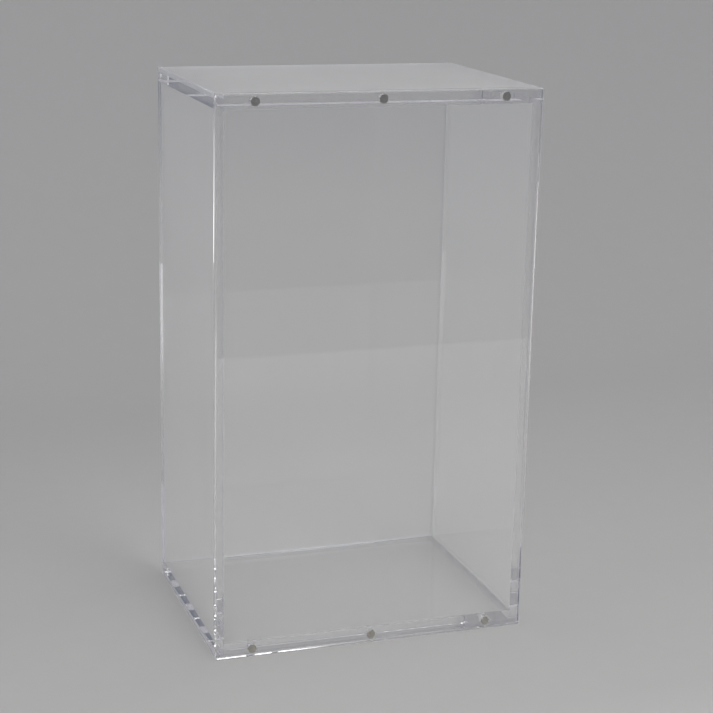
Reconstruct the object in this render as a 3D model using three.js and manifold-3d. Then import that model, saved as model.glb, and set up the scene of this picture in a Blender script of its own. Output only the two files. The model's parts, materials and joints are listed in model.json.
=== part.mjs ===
// A tall, clear acrylic display box with a lift-off front door held by small round magnets.
//
// The case is built from flat sheet. Two side panels of thin sheet run its full height. Between them a
// top and a bottom panel of thicker sheet span the full depth, and a thin back panel fills what is left.
// All five are cemented along their edges. The front is open and is closed by a full-size door panel,
// which has no hinge: six disc magnets in blind bores in the door meet six more in the front edges of
// the top and bottom panels.
//
// Frame: millimetres, +Z up, +X to the right as seen from the front, -Y towards the front.
// The origin is the middle of the footprint, on the surface that the box stands on.

import * as THREE from "three";
import { ConvexGeometry } from "three/addons/geometries/ConvexGeometry.js";
import { mergeVertices } from "three/addons/utils/BufferGeometryUtils.js";
import Module from "manifold-3d";

const wasm = await Module();
wasm.setup();

// ---- Driving dimensions ------------------------------------------------------------------------

const BOX_WIDTH = 216;
const BOX_DEPTH = 160;
const BOX_HEIGHT = 370;

const CAP_THICKNESS = 10; // top and bottom panels
const WALL_THICKNESS = 6; // sides, back and door

const EDGE_CHAMFER = 0.6; // polished chamfer on the outer edges of the case and of the door
const EDGE_BREAK = 0.15; // on every other edge of a panel
const DOOR_GAP = 0.2; // air between the door and the case
const CEMENT_GAP = 0.02; // film of cement in a glued joint

const MAGNET_DIAMETER = 6;
const MAGNET_LENGTH = 3;
const MAGNET_SPACING = 83; // between neighbouring magnets in a row
const BORE_CLEARANCE = 0.1; // around a magnet, and behind it
const MAGNET_RECESS = 0.05; // a magnet's face below the face of its panel
const MAGNET_EDGE_BREAK = 0.25;
const ROUND_SEGMENTS = 48;

// ---- Positions worked out from them ------------------------------------------------------------

const FRONT_Y = -BOX_DEPTH / 2;
const BACK_Y = BOX_DEPTH / 2;
const DOOR_BACK_Y = FRONT_Y + WALL_THICKNESS;
const CASE_FRONT_Y = DOOR_BACK_Y + DOOR_GAP;

// The panels that lie between the two sides.
const INNER_HALF_WIDTH = BOX_WIDTH / 2 - WALL_THICKNESS - CEMENT_GAP;

const MAGNET_COLUMNS = [
  { name: "left", x: -MAGNET_SPACING },
  { name: "middle", x: 0 },
  { name: "right", x: MAGNET_SPACING },
];
const MAGNET_ROWS = [
  { name: "top", z: BOX_HEIGHT - CAP_THICKNESS / 2 },
  { name: "bottom", z: CAP_THICKNESS / 2 },
];

// ---- Materials ---------------------------------------------------------------------------------

function clearAcrylic() {
  return new THREE.MeshStandardMaterial({
    color: 0xe9eef2,
    roughness: 0.02,
    metalness: 0,
    transparent: true,
    opacity: 0.25,
  });
}

function nickelPlate() {
  return new THREE.MeshStandardMaterial({ color: 0x8d8b86, roughness: 0.22, metalness: 1 });
}

// ---- Solids ------------------------------------------------------------------------------------

function toSolid(geometry) {
  geometry.deleteAttribute("normal");
  geometry.deleteAttribute("uv");
  const merged = mergeVertices(geometry);
  return new wasm.Manifold(
    new wasm.Mesh({
      numProp: 3,
      vertProperties: new Float32Array(merged.attributes.position.array),
      triVerts: new Uint32Array(merged.index.array),
    }),
  );
}

function toGeometry(solid) {
  const mesh = solid.getMesh();
  const geometry = new THREE.BufferGeometry();
  geometry.setAttribute("position", new THREE.BufferAttribute(new Float32Array(mesh.vertProperties), 3));
  geometry.setIndex(new THREE.BufferAttribute(new Uint32Array(mesh.triVerts), 1));
  geometry.computeVertexNormals();
  return geometry;
}

// A block of the given size, centred on the origin, with a flat 45 degree bevel of the given width on
// all twelve edges. Each corner of the block becomes a small triangle.
function bevelledBlock(width, depth, height, bevel) {
  const half = new THREE.Vector3(width, depth, height).multiplyScalar(0.5);
  const points = [];
  for (const x of [-1, 1]) {
    for (const y of [-1, 1]) {
      for (const z of [-1, 1]) {
        for (const facing of ["x", "y", "z"]) {
          const inset = half.clone().subScalar(bevel);
          inset[facing] = half[facing];
          points.push(inset.multiply(new THREE.Vector3(x, y, z)));
        }
      }
    }
  }
  return new ConvexGeometry(points);
}

// The space between two opposite corners, as a centre and a size.
function span(low, high) {
  return {
    centre: low.map((value, axis) => (value + high[axis]) / 2),
    size: low.map((value, axis) => high[axis] - value),
  };
}

// ---- Magnets and their bores -------------------------------------------------------------------

// A disc lying along Y between its two faces.
function discAlongY(diameter, frontY, backY) {
  const geometry = new THREE.CylinderGeometry(diameter / 2, diameter / 2, backY - frontY, ROUND_SEGMENTS);
  return geometry.translate(0, (frontY + backY) / 2, 0);
}

// A disc magnet about the Y axis, with its plated edges broken.
function magnetGeometry() {
  const radius = MAGNET_DIAMETER / 2;
  const half = MAGNET_LENGTH / 2;
  const profile = [
    new THREE.Vector2(0, -half),
    new THREE.Vector2(radius - MAGNET_EDGE_BREAK, -half),
    new THREE.Vector2(radius, MAGNET_EDGE_BREAK - half),
    new THREE.Vector2(radius, half - MAGNET_EDGE_BREAK),
    new THREE.Vector2(radius - MAGNET_EDGE_BREAK, half),
    new THREE.Vector2(0, half),
  ];
  return new THREE.LatheGeometry(profile, ROUND_SEGMENTS);
}

// Cuts one blind bore per column out of a panel. The bores enter its face at mouthY and go inwards,
// to +Y or -Y, and lie at the given height above the panel's centre.
function boreRow(solid, panelY, mouthY, inwards, heightAboveCentre) {
  const depth = MAGNET_RECESS + MAGNET_LENGTH + BORE_CLEARANCE;
  const overshoot = 1;
  const ends = [mouthY - inwards * overshoot, mouthY + inwards * depth].sort((a, b) => a - b);
  const bore = MAGNET_DIAMETER + 2 * BORE_CLEARANCE;
  return MAGNET_COLUMNS.reduce((cutSoFar, column) => {
    const geometry = discAlongY(bore, ends[0] - panelY, ends[1] - panelY);
    geometry.translate(column.x, 0, heightAboveCentre);
    return cutSoFar.subtract(toSolid(geometry));
  }, solid);
}

function magnet(name, x, y, z) {
  const mesh = new THREE.Mesh(magnetGeometry(), nickelPlate());
  mesh.name = name;
  mesh.position.set(x, y, z);
  return mesh;
}

// ---- Panels ------------------------------------------------------------------------------------

// A sheet between two opposite corners. The cut is worked on the sheet while it is centred on the origin.
function panel(name, low, high, bevel, cut) {
  const { centre, size } = span(low, high);
  const solid = cut(toSolid(bevelledBlock(...size, bevel)), centre);
  const mesh = new THREE.Mesh(toGeometry(solid), clearAcrylic());
  mesh.name = name;
  mesh.position.set(...centre);
  return mesh;
}

// The case's outer edges are chamfered after it is glued up, so the chamfer runs across the joints.
// A case panel keeps what lies inside the chamfered block.
function chamferCase(solid, panelCentre) {
  const { centre, size } = span([-BOX_WIDTH / 2, CASE_FRONT_Y, 0], [BOX_WIDTH / 2, BACK_Y, BOX_HEIGHT]);
  const block = bevelledBlock(...size, EDGE_CHAMFER);
  block.translate(...centre.map((value, axis) => value - panelCentre[axis]));
  return solid.intersect(toSolid(block));
}

function capPanel(name, lowZ) {
  const low = [-INNER_HALF_WIDTH, CASE_FRONT_Y, lowZ];
  const high = [INNER_HALF_WIDTH, BACK_Y, lowZ + CAP_THICKNESS];
  return panel(name, low, high, EDGE_BREAK, (solid, centre) =>
    boreRow(chamferCase(solid, centre), centre[1], CASE_FRONT_Y, 1, 0),
  );
}

function sidePanel(name, side) {
  const outer = (side * BOX_WIDTH) / 2;
  const inner = outer - side * WALL_THICKNESS;
  const low = [Math.min(outer, inner), CASE_FRONT_Y, 0];
  const high = [Math.max(outer, inner), BACK_Y, BOX_HEIGHT];
  return panel(name, low, high, EDGE_BREAK, chamferCase);
}

function backPanel() {
  const footZ = CAP_THICKNESS + CEMENT_GAP;
  const low = [-INNER_HALF_WIDTH, BACK_Y - WALL_THICKNESS, footZ];
  const high = [INNER_HALF_WIDTH, BACK_Y, BOX_HEIGHT - footZ];
  return panel("back_panel", low, high, EDGE_BREAK, chamferCase);
}

function doorPanel() {
  const low = [-BOX_WIDTH / 2, FRONT_Y, 0];
  const high = [BOX_WIDTH / 2, DOOR_BACK_Y, BOX_HEIGHT];
  return panel("front_door", low, high, EDGE_CHAMFER, (solid, centre) =>
    MAGNET_ROWS.reduce(
      (cutSoFar, row) => boreRow(cutSoFar, centre[1], DOOR_BACK_Y, -1, row.z - centre[2]),
      solid,
    ),
  );
}

// ---- Assembly ----------------------------------------------------------------------------------

const displayBox = new THREE.Group();

const caseGroup = new THREE.Group();
caseGroup.add(capPanel("bottom_panel", 0));
caseGroup.add(capPanel("top_panel", BOX_HEIGHT - CAP_THICKNESS));
caseGroup.add(sidePanel("left_panel", -1));
caseGroup.add(sidePanel("right_panel", 1));
caseGroup.add(backPanel());
displayBox.add(caseGroup);

const doorGroup = new THREE.Group();
doorGroup.add(doorPanel());
displayBox.add(doorGroup);

const halfMagnet = MAGNET_LENGTH / 2;
for (const row of MAGNET_ROWS) {
  for (const column of MAGNET_COLUMNS) {
    const place = `${row.name}_${column.name}`;
    const doorY = DOOR_BACK_Y - MAGNET_RECESS - halfMagnet;
    const caseY = CASE_FRONT_Y + MAGNET_RECESS + halfMagnet;
    doorGroup.add(magnet(`door_magnet_${place}`, column.x, doorY, row.z));
    caseGroup.add(magnet(`case_magnet_${place}`, column.x, caseY, row.z));
  }
}

export default displayBox;
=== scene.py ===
import json
import math

import bmesh
import bpy
from mathutils import Matrix, Vector


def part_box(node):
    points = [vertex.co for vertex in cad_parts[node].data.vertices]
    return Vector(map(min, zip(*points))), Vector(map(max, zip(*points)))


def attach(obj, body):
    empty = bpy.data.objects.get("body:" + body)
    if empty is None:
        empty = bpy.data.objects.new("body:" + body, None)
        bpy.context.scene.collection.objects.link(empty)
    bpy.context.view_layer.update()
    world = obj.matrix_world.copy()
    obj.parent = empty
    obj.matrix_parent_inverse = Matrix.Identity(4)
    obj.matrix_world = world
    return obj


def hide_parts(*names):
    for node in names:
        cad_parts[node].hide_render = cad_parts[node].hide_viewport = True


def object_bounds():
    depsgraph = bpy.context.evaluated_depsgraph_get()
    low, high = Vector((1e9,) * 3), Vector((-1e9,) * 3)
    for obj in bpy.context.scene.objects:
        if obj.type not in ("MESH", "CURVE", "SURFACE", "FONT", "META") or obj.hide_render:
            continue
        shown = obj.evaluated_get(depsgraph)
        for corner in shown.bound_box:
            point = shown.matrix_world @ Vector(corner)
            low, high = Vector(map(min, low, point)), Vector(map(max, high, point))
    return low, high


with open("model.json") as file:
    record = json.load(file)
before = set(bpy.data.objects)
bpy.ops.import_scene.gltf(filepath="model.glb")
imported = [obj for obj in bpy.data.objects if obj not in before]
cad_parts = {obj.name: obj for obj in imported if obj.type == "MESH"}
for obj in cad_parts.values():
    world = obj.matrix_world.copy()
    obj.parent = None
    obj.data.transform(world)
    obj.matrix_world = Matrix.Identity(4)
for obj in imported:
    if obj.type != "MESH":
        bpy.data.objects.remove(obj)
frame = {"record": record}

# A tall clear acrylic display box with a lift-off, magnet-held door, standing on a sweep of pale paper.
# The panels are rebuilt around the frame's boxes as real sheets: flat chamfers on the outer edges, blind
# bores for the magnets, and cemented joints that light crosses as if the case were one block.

cad_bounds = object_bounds()
BOX_LOW = Vector(cad_bounds[0])
BOX_HIGH = Vector(cad_bounds[1])
HEIGHT = BOX_HIGH.z - BOX_LOW.z
MM = 0.001

# ---- How the sheets are worked, in metres ----------------------------------------------------------

EDGE_CHAMFER = 0.6 * MM  # flat and polished, on the outer edges of the case and of the door
EDGE_BREAK = 0.15 * MM  # on the other free edges
OUTLINE_REACH = 0.2 * MM  # an edge this close to two sides of its body's outline is an outer one
GLUE_REACH = 0.05 * MM  # two faces this close are a cemented joint
NARROWEST_JOINT = 1 * MM
FLOOR_LIFT = 0.1 * MM  # air left under the box, which its flat underside never quite closes

BORE_CLEARANCE = 0.1 * MM
BORE_OVERSHOOT = 1 * MM  # how far the drill reaches out of the panel
BORE_STEPS = 64
MAGNET_STEPS = 96
MAGNET_ROUND = 0.25 * MM  # radius of a magnet's rims
MAGNET_ROUND_STEPS = 3

SAME_DIRECTION = 0.99  # least cosine between an axis and the normal of a face that faces along it
CORNER_TURN = 1.0  # radians: an edge whose faces turn further than this is a corner
SPLIT_TOLERANCE = 1e-7

# ---- The acrylic -----------------------------------------------------------------------------------

ACRYLIC_IOR = 1.491
CLEAR = (1.0, 1.0, 1.0, 1.0)
TINT_COLOUR = (0.93, 0.94, 1.0, 1.0)
TINT_DENSITY = 0.08

# The share of light that fine scratches and dust on a polished face scatter, seen head on.
HAZE = 0.05
WIPE_SPREAD = 0.3  # how much wiping makes the haze vary, as a share of it
LEVEL_HAZE = 0.3  # the share of the haze that a level face has
PAINTED_SIDE_LIGHT = 0.01  # added on the sides as painted light: it brightens the side walls, as more light from the left would
SETTLED_DUST = 0.09  # added on faces that look up, in full on the lid and less lower down
GRAIN_HAZE = 0.05  # added at each grain of dust
GRAIN_THRESHOLD = 0.72  # of the noise, above which there is a grain
FULL_SLANT = 0.35  # cosine of the slant at which the haze stops growing
HAZE_COLOUR = (0.97, 0.97, 0.97, 1.0)
PAINTED_HAZE_GLOW = (1.35, 1.35, 1.34, 1.0)  # above white, a painted glow: the haze gives out more light than reaches it, standing for dust throwing most of its light forwards

# What a lamp's light keeps as it crosses a face.
FILM_FACE_ON = (1.0, 1.0, 1.0, 1.0)
FILM_EDGE_ON = (0.55, 0.55, 0.56, 1.0)
FILM_TURN = 0.6  # the slant at which it starts to lose light, from 0 head on to 1 along the face
FACE_LOSS = 0.02  # taken at every face
GATHERED = 0.10  # given at the faces of the door and the back, for light that the edges gather there

# ---- The cemented joints ---------------------------------------------------------------------------

CEMENT_FILM = (0.72, 0.72, 0.73, 1.0)  # what a lamp's light keeps as it crosses a clear joint
FROTH_COLOUR = (0.98, 0.98, 1.0, 1.0)
CLOUDY_FROTH = (0.35, 0.75)  # least and most froth in a joint that dried white
STARVED_FROTH = (0.4, 0.7)  # and in the white margin of a starved joint
STARVED_TOP = 3.8 * MM  # depth of that margin, from the top edge
STARVED_FOOT = 2.8 * MM  # and from the bottom edge
BUBBLES = 700.0  # per metre
BUBBLE_RADIUS = 0.08  # as a share of their spacing
BUBBLE_FROTH = 0.3

# ---- The drilled bores and the magnets -------------------------------------------------------------

BORE_ROUGHNESS = 0.25
BORE_RINGS = 1500.0  # per metre
BORE_RING_WANDER = 1.5
NICKEL_DULL = (0.50, 0.48, 0.41, 1.0)
NICKEL_BRIGHT = (0.62, 0.60, 0.52, 1.0)
NICKEL_SHADES = [(0.3, NICKEL_DULL), (0.7, NICKEL_BRIGHT)]  # by the level of the cloud in the plating
NICKEL_ROUGHNESS = (0.04, 0.10)  # where that level is 0, and where it is 1

# ---- Fine textures ---------------------------------------------------------------------------------

# Noise: features per metre, and octaves of finer detail in them.
WIPES = (14.0, 4.0)
DUST_GRAINS = (900.0, 3.0)
CLOUDY_PATCHES = (400.0, 3.0)
STARVED_PATCHES = (600.0, 2.0)
NICKEL_CLOUD = (900.0, 4.0)
NICKEL_GRAIN = (4000.0, 2.0)
PAPER_CLOUD = (60.0, 5.0)
PAPER_GRAIN = (1200.0, 2.0)

# Relief: strength, and depth in metres.
BORE_RELIEF = (0.3, 0.02 * MM)
NICKEL_RELIEF = (0.15, 0.01 * MM)
PAPER_RELIEF = (0.05, 0.1 * MM)

# ---- The paper, with its places in box heights -----------------------------------------------------

PAPER_FRONT = -2.17
PAPER_BEND = 1.25  # where the paper starts to rise
PAPER_RADIUS = 1.6
PAPER_TOP = 7.0
PAPER_HALF_WIDTH = 9.0
PAPER_BEND_STEPS = 32
PAPER_TONE = 0.55
PAINTED_LIGHT_PAPER_TONE = 0.93  # painted light: the stretch in front is paler, as if more light fell there, and the box mirrors it
PAINTED_LIGHT_NEAR = 0.5  # the painted light starts this far in front of the box's middle
PAINTED_LIGHT_FAR = 1.3
PAPER_HUE = (1.02, 1.0, 0.972)
PAPER_MOTTLE = 0.015  # how much the tone varies, as a share of it

# ---- The room --------------------------------------------------------------------------------------

ROOM_FLOOR = (0.38, 0.38, 0.38, 1.0)
ROOM_WALL = (0.02, 0.035, 0.09, 1.0)
ROOM_CEILING = (0.30, 0.31, 0.33, 1.0)

# The room's shades by height of view, from 0 straight down, through 0.5 level, to 1 straight up.
ROOM_SHADES = [(0.41, ROOM_FLOOR), (0.46, ROOM_WALL), (0.70, ROOM_WALL), (0.80, ROOM_CEILING)]

# Soft lamps: place, aim and size in box heights, power in watts.
BOX_FOOT = (0.0, 0.2, 0.0)
BROAD = (3.0, 3.0)
SOFT_LIGHTS = [
    {"name": "overhead_right", "place": (0.5, -2.5, 4.6), "aim": BOX_FOOT, "size": BROAD, "power": 10.6},
    {"name": "front_left", "place": (-3.2, -3.2, 3.2), "aim": BOX_FOOT, "size": BROAD, "power": 12.5},
    {"name": "window_right", "place": (6.0, 1.0, 3.0), "aim": BOX_FOOT, "size": BROAD, "power": 8.2},
    {
        "name": "strip_right",
        "place": (1.7, -1.2, 0.6),
        "aim": (0.2, -0.1, 0.2),
        "size": (0.4, 1.0),
        "power": 0.3,
    },
]

# ---- The camera ------------------------------------------------------------------------------------

CAMERA_AZIMUTH = math.radians(-19.16)
CAMERA_ELEVATION = math.radians(15.12)
CAMERA_ROLL = math.radians(1.22)
CAMERA_TARGET = Vector((0.0337, 0.0, 0.4805))  # in box heights
CAMERA_DISTANCE = 3.322  # from the target, in box heights
CAMERA_CLIP_START = 0.01
SENSOR_WIDTH = 36.0  # millimetres, as is the focal length
FOCAL_LENGTH = 89.77

# ---- Light paths -----------------------------------------------------------------------------------

CLEAR_BOUNCES = 160  # light runs far inside a clear panel before it leaves at an edge
DIFFUSE_BOUNCES = 3
FILM_CROSSINGS = 32
GLOSSY_BLUR = 0.5


# ---- Node helpers ----------------------------------------------------------------------------------

class Nodes:
    """Short calls for building one node tree."""

    def __init__(self, tree):
        self.tree = tree

    def add(self, kind, inputs=None, **settings):
        node = self.tree.nodes.new(kind)
        for key, value in settings.items():
            setattr(node, key, value)
        for key, value in (inputs or {}).items():
            self.feed(node.inputs[key], value)
        return node

    def feed(self, socket, value):
        if isinstance(value, bpy.types.NodeSocket):
            self.tree.links.new(value, socket)
        else:
            socket.default_value = value

    def math(self, operation, *values):
        node = self.add("ShaderNodeMath", operation=operation)
        for socket, value in zip(node.inputs, values):
            self.feed(socket, value)
        return node.outputs[0]

    def object_place(self):
        return self.add("ShaderNodeTexCoord").outputs["Object"]

    def coordinate(self, vector, axis):
        return self.add("ShaderNodeSeparateXYZ", {0: vector}).outputs[axis]

    def scaled(self, vector, factor):
        node = self.add("ShaderNodeVectorMath", {0: vector, "Scale": factor}, operation="SCALE")
        return node.outputs["Vector"]

    def noise(self, place, scale, detail):
        inputs = {"Vector": place, "Scale": scale, "Detail": detail}
        return self.add("ShaderNodeTexNoise", inputs).outputs[0]

    def between(self, share, low, high):
        """The value that lies a share of the way from low to high."""
        return self.add("ShaderNodeMapRange", {"Value": share, "To Min": low, "To Max": high}).outputs[0]

    def ramp(self, value, stops):
        node = self.add("ShaderNodeValToRGB", {0: value})
        elements = node.color_ramp.elements
        while len(elements) < len(stops):
            elements.new(1.0)
        for element, (position, colour) in zip(elements, stops):
            element.position = position
            element.color = colour
        return node.outputs["Color"]

    def relief(self, height, strength, depth):
        inputs = {"Strength": strength, "Distance": depth, "Height": height}
        return self.add("ShaderNodeBump", inputs).outputs[0]

    def mix(self, share, first, second):
        """Two shaders, with this share of the second."""
        return self.add("ShaderNodeMixShader", {0: share, 1: first, 2: second}).outputs[0]


def new_material(name):
    material = bpy.data.materials.new(name)
    material.use_nodes = True
    material.node_tree.nodes.clear()
    return material, Nodes(material.node_tree)


# ---- Materials -------------------------------------------------------------------------------------

def let_light_through(n, surface, tint_face_on, tint_edge_on):
    """Lamps and the floor's own bounce pass the sheet as a clear film, so it casts a pale shadow."""
    rays = n.add("ShaderNodeLightPath")
    passing = n.math("MAXIMUM", rays.outputs["Is Shadow Ray"], rays.outputs["Is Diffuse Ray"])
    slant = n.add("ShaderNodeLayerWeight", {"Blend": 0.5}).outputs["Facing"]
    tint = n.ramp(slant, [(FILM_TURN, tint_face_on), (1.0, tint_edge_on)])
    normal = n.add("ShaderNodeNewGeometry").outputs["Normal"]
    front_or_back = n.math("ABSOLUTE", n.coordinate(normal, "Y"))
    gain = n.math("MULTIPLY_ADD", front_or_back, GATHERED, 1.0 - FACE_LOSS)
    film = n.add("ShaderNodeBsdfTransparent", {"Color": n.scaled(tint, gain)}).outputs[0]
    return n.mix(passing, surface, film)


def acrylic_output(n, surface):
    """Fills the sheet with the faint violet-blue that shows where light has run a long way through it."""
    tint = n.add("ShaderNodeVolumeAbsorption", {"Color": TINT_COLOUR, "Density": TINT_DENSITY}).outputs[0]
    n.add("ShaderNodeOutputMaterial", {"Surface": surface, "Volume": tint})


def thin_white(n, lit_colour, glow_colour):
    """A thin white layer: half of its light comes back off it and half goes on through it."""
    lit = n.add("ShaderNodeBsdfDiffuse", {"Color": lit_colour}).outputs[0]
    glow = n.add("ShaderNodeBsdfTranslucent", {"Color": glow_colour}).outputs[0]
    return n.mix(0.5, lit, glow)


def haze_dust_and_painted_light(n, place):
    """The share of light that the haze and dust on a polished face scatter, more at a slant, with painted
    light added on the sides.
    """
    geometry = n.add("ShaderNodeNewGeometry").outputs
    normal = geometry["Normal"]
    upwards = n.coordinate(normal, "Z")

    wipes = n.noise(place, *WIPES)
    upright_film = n.between(wipes, HAZE * (1.0 - WIPE_SPREAD), HAZE * (1.0 + WIPE_SPREAD))
    by_level = n.math("MULTIPLY_ADD", n.math("ABSOLUTE", upwards), LEVEL_HAZE - 1.0, 1.0)
    film = n.math("MULTIPLY", upright_film, by_level)
    by_height = n.math("MULTIPLY", n.coordinate(place, "Z"), SETTLED_DUST / HEIGHT)
    settled = n.math("MULTIPLY", n.math("MAXIMUM", upwards, 0.0), by_height)
    # Painted light: a little more haze on faces that look sideways brightens the side walls.
    side_painted_light = n.math("MULTIPLY", n.math("ABSOLUTE", n.coordinate(normal, "X")), PAINTED_SIDE_LIGHT)
    haze_and_painted_light = n.math("ADD", n.math("ADD", film, settled), side_painted_light)

    view = n.add("ShaderNodeVectorMath", {0: geometry["Incoming"], 1: normal}, operation="DOT_PRODUCT")
    head_on = n.math("MAXIMUM", n.math("ABSOLUTE", view.outputs["Value"]), FULL_SLANT)
    slanted = n.math("DIVIDE", haze_and_painted_light, head_on)

    grains = n.math("GREATER_THAN", n.noise(place, *DUST_GRAINS), GRAIN_THRESHOLD)
    dust = n.math("MULTIPLY", grains, GRAIN_HAZE)
    from_outside = n.math("SUBTRACT", 1.0, geometry["Backfacing"])
    return n.math("MULTIPLY", n.math("ADD", slanted, dust), from_outside)


def acrylic_material():
    material, n = new_material("clear_acrylic")
    glass = n.add("ShaderNodeBsdfGlass", {"Color": CLEAR, "Roughness": 0.0, "IOR": ACRYLIC_IOR}).outputs[0]
    # The haze's veil glows above white, and its share includes painted light on the sides: both are
    # painted light.
    painted_glow_veil = thin_white(n, HAZE_COLOUR, PAINTED_HAZE_GLOW)
    glass_haze_painted_light = n.mix(haze_dust_and_painted_light(n, n.object_place()), glass, painted_glow_veil)
    acrylic_output(n, let_light_through(n, glass_haze_painted_light, FILM_FACE_ON, FILM_EDGE_ON))
    return material


def cement_material(name, cloud, film):
    """A joint filled with solvent cement. Light crosses it unbent, but for the share that dried froth
    scatters: cloud(n, place) gives that share from a point on the joint."""
    material, n = new_material(name)
    clear = n.add("ShaderNodeBsdfTransparent").outputs[0]
    froth = thin_white(n, FROTH_COLOUR, FROTH_COLOUR)
    joint = n.mix(cloud(n, n.object_place()), clear, froth)
    acrylic_output(n, let_light_through(n, joint, film, film))
    return material


def cloudy_joint(n, place):
    """The back panel's sawn ends took the cement badly and dried white."""
    return n.between(n.noise(place, *CLOUDY_PATCHES), *CLOUDY_FROTH)


def clear_joint(n, place):
    """The side panels' joints are clear, but for small bubbles and for a starved, white margin along the
    left one's top and bottom edges."""
    height = n.coordinate(place, "Z")
    near_top = n.math("GREATER_THAN", height, HEIGHT - STARVED_TOP)
    near_foot = n.math("LESS_THAN", height, STARVED_FOOT)
    on_left = n.math("LESS_THAN", n.coordinate(place, "X"), 0.0)
    margin = n.math("MULTIPLY", n.math("ADD", near_top, near_foot), on_left)
    starved = n.between(n.noise(place, *STARVED_PATCHES), *STARVED_FROTH)
    specks = n.add("ShaderNodeTexVoronoi", {"Vector": place, "Scale": BUBBLES}).outputs["Distance"]
    bubbles = n.math("MULTIPLY", n.math("LESS_THAN", specks, BUBBLE_RADIUS), BUBBLE_FROTH)
    return n.math("MAXIMUM", n.math("MULTIPLY", margin, starved), bubbles)


def bore_material():
    """The wall of a drilled bore: the drill leaves it frosted and faintly ringed."""
    material, n = new_material("drilled_acrylic")
    wave = {"Vector": n.object_place(), "Scale": BORE_RINGS, "Distortion": BORE_RING_WANDER}
    rings = n.add("ShaderNodeTexWave", wave, bands_direction="Y").outputs[0]
    frosted = {
        "Color": CLEAR,
        "Roughness": BORE_ROUGHNESS,
        "IOR": ACRYLIC_IOR,
        "Normal": n.relief(rings, *BORE_RELIEF),
    }
    glass = n.add("ShaderNodeBsdfGlass", frosted).outputs[0]
    acrylic_output(n, let_light_through(n, glass, FILM_FACE_ON, FILM_EDGE_ON))
    return material


def nickel_material():
    """Bright plating, with a faint cloud of duller nickel and a fine grain."""
    material, n = new_material("nickel_plate")
    place = n.object_place()
    cloud = n.noise(place, *NICKEL_CLOUD)
    grain = n.noise(place, *NICKEL_GRAIN)
    plate = {
        "Base Color": n.ramp(cloud, NICKEL_SHADES),
        "Metallic": 1.0,
        "Roughness": n.between(cloud, *NICKEL_ROUGHNESS),
        "Normal": n.relief(grain, *NICKEL_RELIEF),
    }
    n.add("ShaderNodeOutputMaterial", {"Surface": n.add("ShaderNodeBsdfPrincipled", plate).outputs[0]})
    return material


def paper_material():
    """Matt paper with a faint mottle and grain, and painted light: paler in front of the box than under
    and behind it, so the box mirrors a lit floor.
    """
    material, n = new_material("backdrop_paper")
    place = n.object_place()
    # Painted light: the tone rises from the plain paper tone under and behind the box to a paler one in
    # front.
    painted_light_fade = {
        "Value": n.math("MULTIPLY", n.coordinate(place, "Y"), -1.0),
        "From Min": PAINTED_LIGHT_NEAR * HEIGHT,
        "From Max": PAINTED_LIGHT_FAR * HEIGHT,
        "To Min": PAPER_TONE,
        "To Max": PAINTED_LIGHT_PAPER_TONE,
    }
    tone = n.add("ShaderNodeMapRange", painted_light_fade, interpolation_type="SMOOTHSTEP").outputs[0]
    mottle = n.between(n.noise(place, *PAPER_CLOUD), 1.0 - PAPER_MOTTLE, 1.0 + PAPER_MOTTLE)
    grain = n.noise(place, *PAPER_GRAIN)
    matt = {
        "Color": n.scaled(PAPER_HUE, n.math("MULTIPLY", tone, mottle)),
        "Normal": n.relief(grain, *PAPER_RELIEF),
    }
    n.add("ShaderNodeOutputMaterial", {"Surface": n.add("ShaderNodeBsdfDiffuse", matt).outputs[0]})
    return material


# ---- Mesh helpers ----------------------------------------------------------------------------------

def link_mesh(name, bm, materials):
    mesh = bpy.data.meshes.new(name)
    bm.to_mesh(mesh)
    bm.free()
    for material in materials:
        mesh.materials.append(material)
    piece = bpy.data.objects.new(name, mesh)
    bpy.context.scene.collection.objects.link(piece)
    return piece


def block(low, high):
    """A solid block between two opposite corners."""
    bm = bmesh.new()
    bmesh.ops.create_cube(bm, size=1.0)
    centre = (low + high) / 2
    size = high - low
    for vert in bm.verts:
        vert.co = centre + Vector(part * length for part, length in zip(vert.co, size))
    return bm


def disc_along_y(centre_x, centre_z, low_y, high_y, radius, steps):
    """A closed disc between two planes of constant Y."""
    bm = bmesh.new()
    middle = Vector((centre_x, (low_y + high_y) / 2, centre_z))
    bmesh.ops.create_cone(
        bm,
        cap_ends=True,
        segments=steps,
        radius1=radius,
        radius2=radius,
        depth=high_y - low_y,
        matrix=Matrix.Translation(middle) @ Matrix.Rotation(math.pi / 2, 4, "X"),
    )
    return bm


def cut_away(piece, cutter):
    """Takes the cutter's shape out of the piece, and removes the cutter."""
    modifier = piece.modifiers.new("cut", "BOOLEAN")
    modifier.object = cutter
    modifier.operation = "DIFFERENCE"
    modifier.solver = "EXACT"
    modifier.material_mode = "TRANSFER"
    bpy.context.view_layer.update()
    graph = bpy.context.evaluated_depsgraph_get()
    cut_mesh = bpy.data.meshes.new_from_object(piece.evaluated_get(graph))
    piece.modifiers.clear()
    piece.data = cut_mesh
    bpy.data.objects.remove(cutter)


def is_corner(edge):
    return len(edge.link_faces) == 2 and edge.calc_face_angle(0.0) > CORNER_TURN


# ---- Panels ----------------------------------------------------------------------------------------

ACRYLIC_SLOT = 0
CEMENT_SLOT = 1
CLOUDY_SLOT = 2
UPWARDS = 2  # the index of Z


def other_axes(axis):
    return [i for i in range(3) if i != axis]


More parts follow.
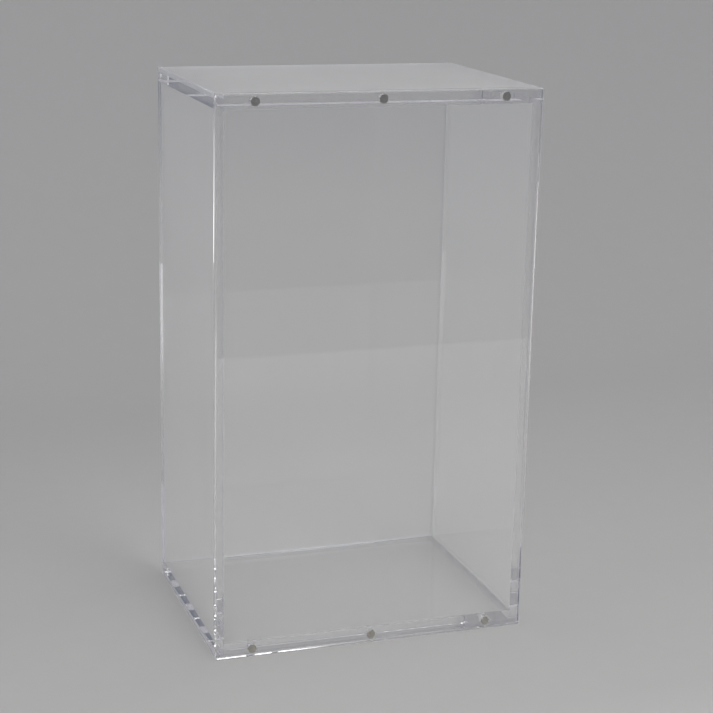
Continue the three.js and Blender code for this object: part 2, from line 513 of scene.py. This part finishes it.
def joints_of(name, panels):
    """Where a body's other panels are cemented to this one, as (axis, side, low corner, high corner)."""
    low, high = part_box(name)
    found = []
    for other in panels:
        if other == name:
            continue
        other_low, other_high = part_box(other)
        shared_low = Vector(max(a, b) for a, b in zip(low, other_low))
        shared_high = Vector(min(a, b) for a, b in zip(high, other_high))
        for axis in range(3):
            if any(shared_high[i] - shared_low[i] < NARROWEST_JOINT for i in other_axes(axis)):
                continue
            if abs(other_low[axis] - high[axis]) < GLUE_REACH:
                found.append((axis, 1, shared_low, shared_high))
            if abs(low[axis] - other_high[axis]) < GLUE_REACH:
                found.append((axis, -1, shared_low, shared_high))
    return found


def outward_faces(bm, axis, side):
    return [face for face in bm.faces if face.normal[axis] * side > SAME_DIRECTION]


def split_faces(bm, faces, axis, position):
    """Draws a line across flat faces, where they meet the plane of one coordinate."""
    normal = Vector((0.0, 0.0, 0.0))
    normal[axis] = 1.0
    geometry = set(faces)
    for face in faces:
        geometry.update(face.edges)
        geometry.update(face.verts)
    bmesh.ops.bisect_plane(
        bm, geom=list(geometry), plane_co=normal * position, plane_no=normal, dist=SPLIT_TOLERANCE
    )


def mark_cement(bm, joints):
    """Outlines every cemented joint on the panel's faces and gives it the cement's material."""
    for axis, side, low, high in joints:
        for across in other_axes(axis):
            for position in (low[across], high[across]):
                bm.normal_update()
                split_faces(bm, outward_faces(bm, axis, side), across, position)
        bm.normal_update()
        for face in outward_faces(bm, axis, side):
            middle = face.calc_center_median()
            if all(low[i] - GLUE_REACH < middle[i] < high[i] + GLUE_REACH for i in other_axes(axis)):
                face.material_index = CLOUDY_SLOT if axis == UPWARDS else CEMENT_SLOT


def free_corners(bm):
    """The right-angled edges that no cemented joint reaches."""
    bm.normal_update()
    return [
        edge for edge in bm.edges
        if is_corner(edge) and all(face.material_index == ACRYLIC_SLOT for face in edge.link_faces)
    ]


def outline_of(panels):
    """The lowest and highest corners of some panels taken together."""
    boxes = [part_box(name) for name in panels]
    low = Vector(min(low[i] for low, _ in boxes) for i in range(3))
    high = Vector(max(high[i] for _, high in boxes) for i in range(3))
    return low, high


def on_outline(edge, outline):
    """Whether an edge runs along an outer edge of the body that it belongs to."""
    low, high = outline
    middle = (edge.verts[0].co + edge.verts[1].co) / 2
    to_sides = [min(abs(middle[i] - low[i]), abs(middle[i] - high[i])) for i in range(3)]
    return sum(distance < OUTLINE_REACH for distance in to_sides) >= 2


def bevel_edges(bm, edges, width):
    if edges:
        bmesh.ops.bevel(bm, geom=edges, offset=width, segments=1, affect="EDGES", material=ACRYLIC_SLOT)


def panel(name, materials, joints, outline):
    """A sheet in a node's box, with its joints marked and its free edges bevelled."""
    low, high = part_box(name)
    low = low.copy()
    low.z = max(low.z, BOX_LOW.z + FLOOR_LIFT)
    bm = block(low, high)
    mark_cement(bm, joints)
    bevel_edges(bm, [edge for edge in free_corners(bm) if not on_outline(edge, outline)], EDGE_BREAK)
    bevel_edges(bm, [edge for edge in free_corners(bm) if on_outline(edge, outline)], EDGE_CHAMFER)
    piece = link_mesh(name + "_sheet", bm, materials)
    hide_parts(name)
    return piece


def drill_bores(piece, magnets, bore):
    """One blind bore, open to the nearer of the panel's two faces, for each magnet that sits in it."""
    low, high = Vector(piece.bound_box[0]), Vector(piece.bound_box[6])
    for name in magnets:
        magnet_low, magnet_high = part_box(name)
        middle = (magnet_low + magnet_high) / 2
        if not all(low[i] < middle[i] < high[i] for i in range(3)):
            continue
        near = magnet_low.y - BORE_CLEARANCE
        far = magnet_high.y + BORE_CLEARANCE
        if middle.y - low.y < high.y - middle.y:
            near = low.y - BORE_OVERSHOOT
        else:
            far = high.y + BORE_OVERSHOOT
        radius = (magnet_high.z - magnet_low.z) / 2 + BORE_CLEARANCE
        cutter = link_mesh("bore", disc_along_y(middle.x, middle.z, near, far, radius, BORE_STEPS), [bore])
        cut_away(piece, cutter)


# ---- Magnets ---------------------------------------------------------------------------------------

def magnet(name, nickel):
    """A plated disc with rounded rims."""
    low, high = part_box(name)
    middle = (low + high) / 2
    bm = disc_along_y(middle.x, middle.z, low.y, high.y, (high.z - low.z) / 2, MAGNET_STEPS)
    bm.normal_update()
    rims = [edge for edge in bm.edges if is_corner(edge)]
    bmesh.ops.bevel(
        bm, geom=rims, offset=MAGNET_ROUND, segments=MAGNET_ROUND_STEPS, profile=0.5, affect="EDGES"
    )
    for face in bm.faces:
        is_flat_end = len(face.verts) > 4
        face.smooth = not is_flat_end
    piece = link_mesh(name + "_disc", bm, [nickel])
    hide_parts(name)
    return piece


# ---- The object ------------------------------------------------------------------------------------

def build_box():
    sheet_materials = [
        acrylic_material(),
        cement_material("solvent_cement", clear_joint, CEMENT_FILM),
        cement_material("solvent_cement_cloudy", cloudy_joint, FILM_FACE_ON),
    ]
    bore = bore_material()
    nickel = nickel_material()
    for body, members in frame["record"]["behaviour"]["bodies"].items():
        magnets = [name for name in members if "magnet" in name]
        panels = [name for name in members if name not in magnets]
        for name in panels:
            piece = panel(name, sheet_materials, joints_of(name, panels), outline_of(panels))
            drill_bores(piece, magnets, bore)
            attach(piece, body)
        for name in magnets:
            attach(magnet(name, nickel), body)


# ---- The room --------------------------------------------------------------------------------------

def build_paper():
    """A wide sheet of paper: flat under the box, then curving up behind it."""
    bend = PAPER_BEND * HEIGHT
    radius = PAPER_RADIUS * HEIGHT
    outline = [(PAPER_FRONT * HEIGHT, 0.0), (bend, 0.0)]
    for step in range(1, PAPER_BEND_STEPS + 1):
        angle = math.pi / 2 * step / PAPER_BEND_STEPS
        outline.append((bend + radius * math.sin(angle), radius - radius * math.cos(angle)))
    outline.append((bend + radius, PAPER_TOP * HEIGHT))
    half_width = PAPER_HALF_WIDTH * HEIGHT
    bm = bmesh.new()
    left, right = [[bm.verts.new((side * half_width, y, z)) for y, z in outline] for side in (-1, 1)]
    for i in range(len(outline) - 1):
        face = bm.faces.new((left[i], right[i], right[i + 1], left[i + 1]))
        face.smooth = True
    link_mesh("backdrop", bm, [paper_material()])


def add_soft_light(name, place, aim, size, power):
    light = bpy.data.lights.new(name, "AREA")
    light.shape = "RECTANGLE"
    light.size = size[0] * HEIGHT
    light.size_y = size[1] * HEIGHT
    light.energy = power
    lamp = bpy.data.objects.new(name, light)
    bpy.context.scene.collection.objects.link(lamp)
    lamp.location = Vector(place) * HEIGHT
    lamp.rotation_euler = (Vector(aim) * HEIGHT - lamp.location).to_track_quat("-Z", "Y").to_euler()


def build_world():
    """A dark room beyond the paper's front edge, with a paler floor and ceiling."""
    world = bpy.data.worlds.new("room")
    bpy.context.scene.world = world
    world.use_nodes = True
    world.node_tree.nodes.clear()
    n = Nodes(world.node_tree)
    direction = n.add("ShaderNodeTexCoord").outputs["Generated"]
    height = n.math("MULTIPLY_ADD", n.coordinate(direction, "Z"), 0.5, 0.5)
    colour = n.ramp(height, ROOM_SHADES)
    room = n.add("ShaderNodeBackground", {"Color": colour, "Strength": 1.0}).outputs[0]
    n.add("ShaderNodeOutputWorld", {"Surface": room})


def build_camera():
    back = Vector((
        math.sin(CAMERA_AZIMUTH) * math.cos(CAMERA_ELEVATION),
        -math.cos(CAMERA_AZIMUTH) * math.cos(CAMERA_ELEVATION),
        math.sin(CAMERA_ELEVATION),
    ))
    data = bpy.data.cameras.new("camera")
    data.sensor_width = SENSOR_WIDTH
    data.lens = FOCAL_LENGTH
    data.clip_start = CAMERA_CLIP_START
    camera = bpy.data.objects.new("camera", data)
    bpy.context.scene.collection.objects.link(camera)
    upright = back.to_track_quat("Z", "Y").to_matrix().to_4x4()
    camera.matrix_world = (
        Matrix.Translation((CAMERA_TARGET + back * CAMERA_DISTANCE) * HEIGHT)
        @ upright
        @ Matrix.Rotation(CAMERA_ROLL, 4, "Z")
    )
    bpy.context.scene.camera = camera


def set_light_paths():
    cycles = bpy.context.scene.cycles
    cycles.max_bounces = CLEAR_BOUNCES
    cycles.transmission_bounces = CLEAR_BOUNCES
    cycles.glossy_bounces = CLEAR_BOUNCES
    cycles.diffuse_bounces = DIFFUSE_BOUNCES
    cycles.transparent_max_bounces = FILM_CROSSINGS
    cycles.caustics_reflective = True
    cycles.caustics_refractive = True
    cycles.blur_glossy = GLOSSY_BLUR
    cycles.use_denoising = True


build_box()
build_paper()
for soft_light in SOFT_LIGHTS:
    add_soft_light(**soft_light)
build_world()
build_camera()
set_light_paths()
bpy.context.scene.view_settings.view_transform = "Standard"
